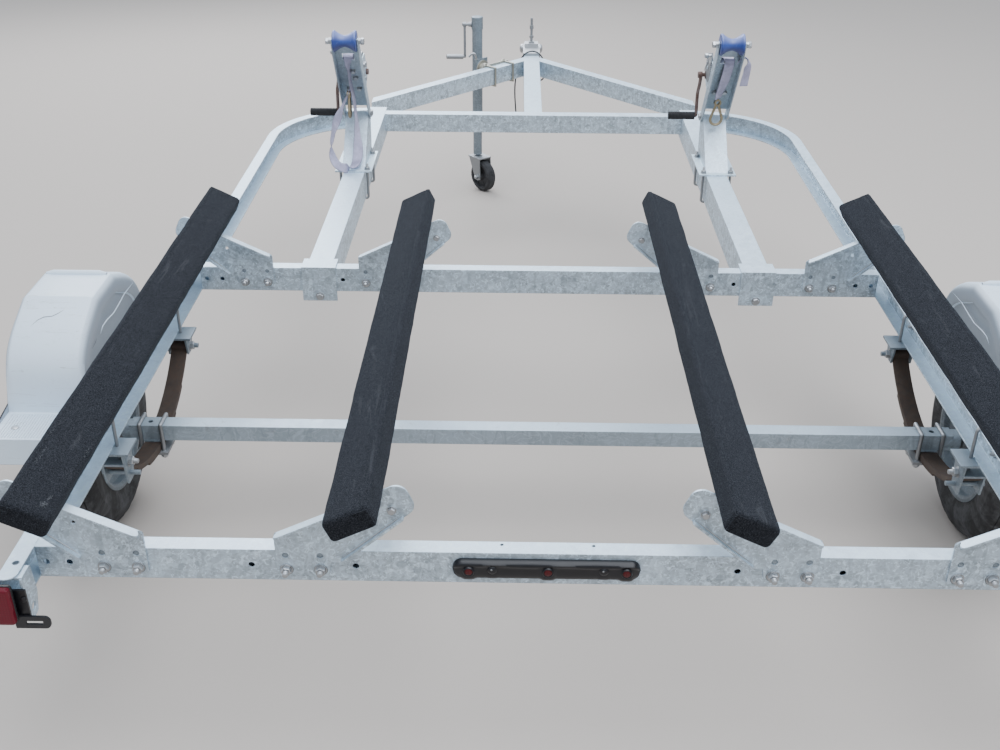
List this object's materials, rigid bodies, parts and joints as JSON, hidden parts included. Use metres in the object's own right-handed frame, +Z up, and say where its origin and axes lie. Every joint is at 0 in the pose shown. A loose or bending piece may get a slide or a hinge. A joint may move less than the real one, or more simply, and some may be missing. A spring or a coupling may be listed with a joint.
{
  "type": "boat trailer",
  "caption": "Galvanized two-berth watercraft trailer with carpeted bunks, leaf-sprung axle, plastic fenders, bow stands with strap winches, A-frame tongue and swing-up caster jack.",
  "frame": {"origin": "centre of the footprint on the ground", "axes": "+X to the right seen from behind, +Y forward to the coupler, +Z up; the frame stands nose up by 3.7 degrees on its jack"},
  "size_m": [2.59, 4.4191, 1.0866],
  "materials": {
    "galvanized": "hot-dip galvanized, spangled, matt",
    "zinc_plate": "bright zinc plated",
    "axle_steel": "dull galvanized",
    "spring_steel": "dark paint with surface rust",
    "fender_plastic": "silver grey, satin, scratched",
    "bunk_carpet": "black marine carpet, worn",
    "blue_roller": "blue polyurethane, satin",
    "crank_steel": "zinc plated with rust film",
    "tyre": "dusty black rubber",
    "rim_steel": "galvanized grey",
    "yellow_zinc": "yellow zinc plated",
    "jack_steel": "grey zinc, dull",
    "caster_rubber": "black hard rubber",
    "lens_red": "red lens, black housing",
    "black_plastic": "black moulded plastic",
    "webbing": "grey polyester webbing",
    "hook_zinc": "yellow zinc plated",
    "lead_sheath": "black rubber sheath"
  },
  "bodies": {
    "trailer": {"rail_left": "galvanized", "rail_right": "galvanized", "rear_crossmember": "galvanized", "middle_crossmember": "galvanized", "front_crossmember": "galvanized", "longitudinals": "galvanized", "tongue_tube": "galvanized", "tongue_braces": "galvanized", "crossmember_saddles": "galvanized", "coupler": "zinc_plate", "coupler_latch": "zinc_plate", "axle": "axle_steel", "leaf_springs": "spring_steel", "front_spring_hangers": "galvanized", "rear_spring_hangers": "galvanized", "axle_clamps": "zinc_plate", "fender_left": "fender_plastic", "fender_right": "fender_plastic", "fender_brackets": "galvanized", "bunk_outer_left": "bunk_carpet", "bunk_inner_left": "bunk_carpet", "bunk_inner_right": "bunk_carpet", "bunk_outer_right": "bunk_carpet", "rear_bunk_brackets": "galvanized", "middle_bunk_brackets": "galvanized", "bow_stand_legs": "galvanized", "bow_stand_arms": "galvanized", "bow_roller_bolts": "zinc_plate", "winch_frames": "zinc_plate", "jack_mount": "yellow_zinc", "tail_lights": "lens_red", "tail_light_brackets": "black_plastic", "identification_light": "black_plastic", "lashing_tabs": "galvanized", "winch_strap_left": "webbing", "winch_strap_right": "webbing", "strap_hooks": "hook_zinc", "wiring_grommet": "black_plastic", "wiring_lead": "lead_sheath", "wiring_plug": "lead_sheath"},
    "wheel_left": {"tyre_left": "tyre", "rim_left": "rim_steel", "hub_left": "zinc_plate"},
    "wheel_right": {"tyre_right": "tyre", "rim_right": "rim_steel", "hub_right": "zinc_plate"},
    "bow_roller_left": {"bow_roller_left": "blue_roller"},
    "bow_roller_right": {"bow_roller_right": "blue_roller"},
    "winch_drum_left": {"winch_drum_left": "zinc_plate"},
    "winch_drum_right": {"winch_drum_right": "zinc_plate"},
    "winch_crank_left": {"winch_crank_left": "crank_steel"},
    "winch_crank_right": {"winch_crank_right": "crank_steel"},
    "jack": {"jack_tube": "jack_steel", "jack_crank": "zinc_plate"},
    "jack_leg": {"jack_leg": "jack_steel"},
    "caster_yoke": {"caster_yoke": "zinc_plate"},
    "caster_wheel": {"caster_wheel": "caster_rubber"}
  },
  "joints": [
    {"name": "wheel_left_turn", "type": "hinge", "parent": "trailer", "child": "wheel_left", "pos_m": [-1.191, -1.28766, 0.266], "axis": [1, 0, 0], "continuous": true},
    {"name": "bow_roller_left_turn", "type": "hinge", "parent": "trailer", "child": "bow_roller_left", "pos_m": [-0.677, 0.12277, 1.04865], "axis": [1, 0, 0], "continuous": true},
    {"name": "winch_drum_left_turn", "type": "hinge", "parent": "trailer", "child": "winch_drum_left", "pos_m": [-0.677, 0.30617, 0.93535], "axis": [1, 0, 0], "continuous": true},
    {"name": "winch_crank_left_turn", "type": "hinge", "parent": "trailer", "child": "winch_crank_left", "pos_m": [-0.677, 0.35665, 0.89853], "axis": [1, 0, 0], "continuous": true},
    {"name": "wheel_right_turn", "type": "hinge", "parent": "trailer", "child": "wheel_right", "pos_m": [1.191, -1.28766, 0.266], "axis": [1, 0, 0], "continuous": true},
    {"name": "bow_roller_right_turn", "type": "hinge", "parent": "trailer", "child": "bow_roller_right", "pos_m": [0.677, 0.12277, 1.04865], "axis": [1, 0, 0], "continuous": true},
    {"name": "winch_drum_right_turn", "type": "hinge", "parent": "trailer", "child": "winch_drum_right", "pos_m": [0.677, 0.30617, 0.93535], "axis": [1, 0, 0], "continuous": true},
    {"name": "winch_crank_right_turn", "type": "hinge", "parent": "trailer", "child": "winch_crank_right", "pos_m": [0.677, 0.35665, 0.89853], "axis": [1, 0, 0], "continuous": true},
    {"name": "jack_swing", "type": "hinge", "parent": "trailer", "child": "jack", "pos_m": [-0.24489, 1.81725, 0.63213], "axis": [-0.7397, 0.6715, 0.0434], "range_deg": [0, 90]},
    {"name": "jack_leg_slide", "type": "slide", "parent": "jack", "child": "jack_leg", "axis": [0, -0.0645, 0.9979], "range_m": [-0.1, 0.14]},
    {"name": "caster_swivel", "type": "hinge", "parent": "jack_leg", "child": "caster_yoke", "pos_m": [-0.2701, 1.87576, 0.08278], "axis": [0, -0.0645, 0.9979], "continuous": true},
    {"name": "caster_wheel_turn", "type": "hinge", "parent": "caster_yoke", "child": "caster_wheel", "pos_m": [-0.24118, 1.84136, 0.08055], "axis": [0.766, 0.6414, 0.0415], "continuous": true}
  ],
  "couplings": [
    {"joint": "winch_crank_left_turn", "follows": "winch_drum_left_turn", "ratio": -3.8333},
    {"joint": "winch_crank_right_turn", "follows": "winch_drum_right_turn", "ratio": -3.8333}
  ]
}
